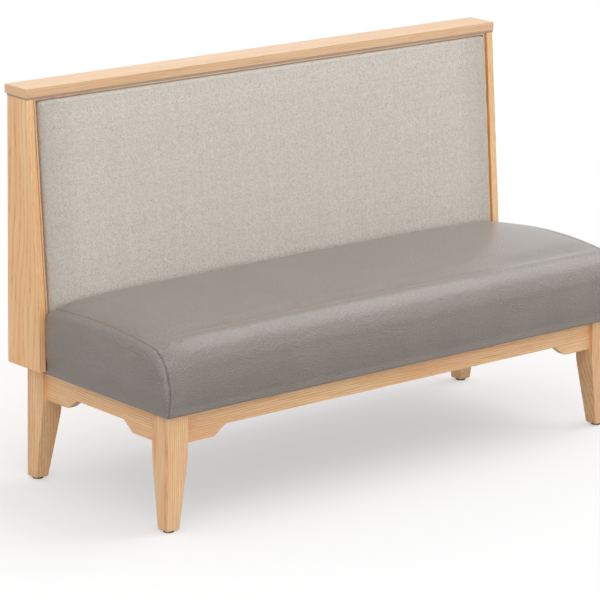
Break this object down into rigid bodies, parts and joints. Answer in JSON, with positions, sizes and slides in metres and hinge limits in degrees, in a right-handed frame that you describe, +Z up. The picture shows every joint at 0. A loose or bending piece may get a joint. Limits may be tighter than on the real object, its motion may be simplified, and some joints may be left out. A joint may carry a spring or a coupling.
{
  "type": "booth bench",
  "caption": "Booth bench with a wooden leg frame, a thick upholstered seat and a raked padded back boxed in wood under a cap rail.",
  "frame": {"origin": "on the floor, under the middle of the bench's outer box", "axes": "+X along the seat towards the sitter's left, -Y out of the front of the seat, +Z up"},
  "size_m": [1.51, 0.6031, 0.97],
  "materials": {
    "oak": "satin",
    "frame_wood": "matte",
    "plywood": "matte",
    "rear_veneer": "satin",
    "reveal_grey": "matte",
    "seat_vinyl": "satin",
    "back_fabric": "matte",
    "foam": "matte",
    "dust_cloth": "matte",
    "foot_plastic": "matte",
    "steel": "satin",
    "brass": "satin"
  },
  "bodies": {
    "bench": {"apron_dowels": "frame_wood", "back_board": "plywood", "back_bolts": "steel", "back_bottom_rail": "frame_wood", "back_cover": "back_fabric", "back_foam": "foam", "back_post_left": "frame_wood", "back_post_middle": "frame_wood", "back_post_right": "frame_wood", "back_rail_dowels": "frame_wood", "back_top_rail": "frame_wood", "bolt_nuts": "steel", "bolt_washers": "steel", "cap_rail": "oak", "cap_screws": "steel", "corner_block_screws": "steel", "corner_blocks": "frame_wood", "cross_rail_dowels": "frame_wood", "cross_rail_left": "frame_wood", "cross_rail_right": "frame_wood", "end_panel_left": "oak", "end_panel_right": "oak", "front_apron": "oak", "leg_front_left": "oak", "leg_front_right": "oak", "leg_inserts": "brass", "leg_rear_left": "oak", "leg_rear_right": "oak", "lipping_left": "oak", "lipping_right": "oak", "lipping_top": "oak", "pad_screws": "steel", "panel_screws": "steel", "post_dowels": "frame_wood", "rear_apron": "oak", "rear_panel": "rear_veneer", "rear_panel_screws": "steel", "reveal_strip": "reveal_grey", "seat_board": "plywood", "seat_cover": "seat_vinyl", "seat_dust_cover": "dust_cloth", "seat_foam": "foam", "seat_screws": "steel", "side_apron_left": "oak", "side_apron_right": "oak"},
    "foot_front_left": {"foot_base_front_left": "foot_plastic", "foot_stem_front_left": "steel"},
    "foot_front_right": {"foot_base_front_right": "foot_plastic", "foot_stem_front_right": "steel"},
    "foot_rear_left": {"foot_base_rear_left": "foot_plastic", "foot_stem_rear_left": "steel"},
    "foot_rear_right": {"foot_base_rear_right": "foot_plastic", "foot_stem_rear_right": "steel"}
  },
  "joints": [
    {"name": "level_front_left", "type": "slide", "parent": "bench", "child": "foot_front_left", "axis": [0, 0, -1], "range_m": [0, 0.01]},
    {"name": "level_front_right", "type": "slide", "parent": "bench", "child": "foot_front_right", "axis": [0, 0, -1], "range_m": [0, 0.01]},
    {"name": "level_rear_left", "type": "slide", "parent": "bench", "child": "foot_rear_left", "axis": [0, 0, -1], "range_m": [0, 0.01]},
    {"name": "level_rear_right", "type": "slide", "parent": "bench", "child": "foot_rear_right", "axis": [0, 0, -1], "range_m": [0, 0.01]}
  ]
}
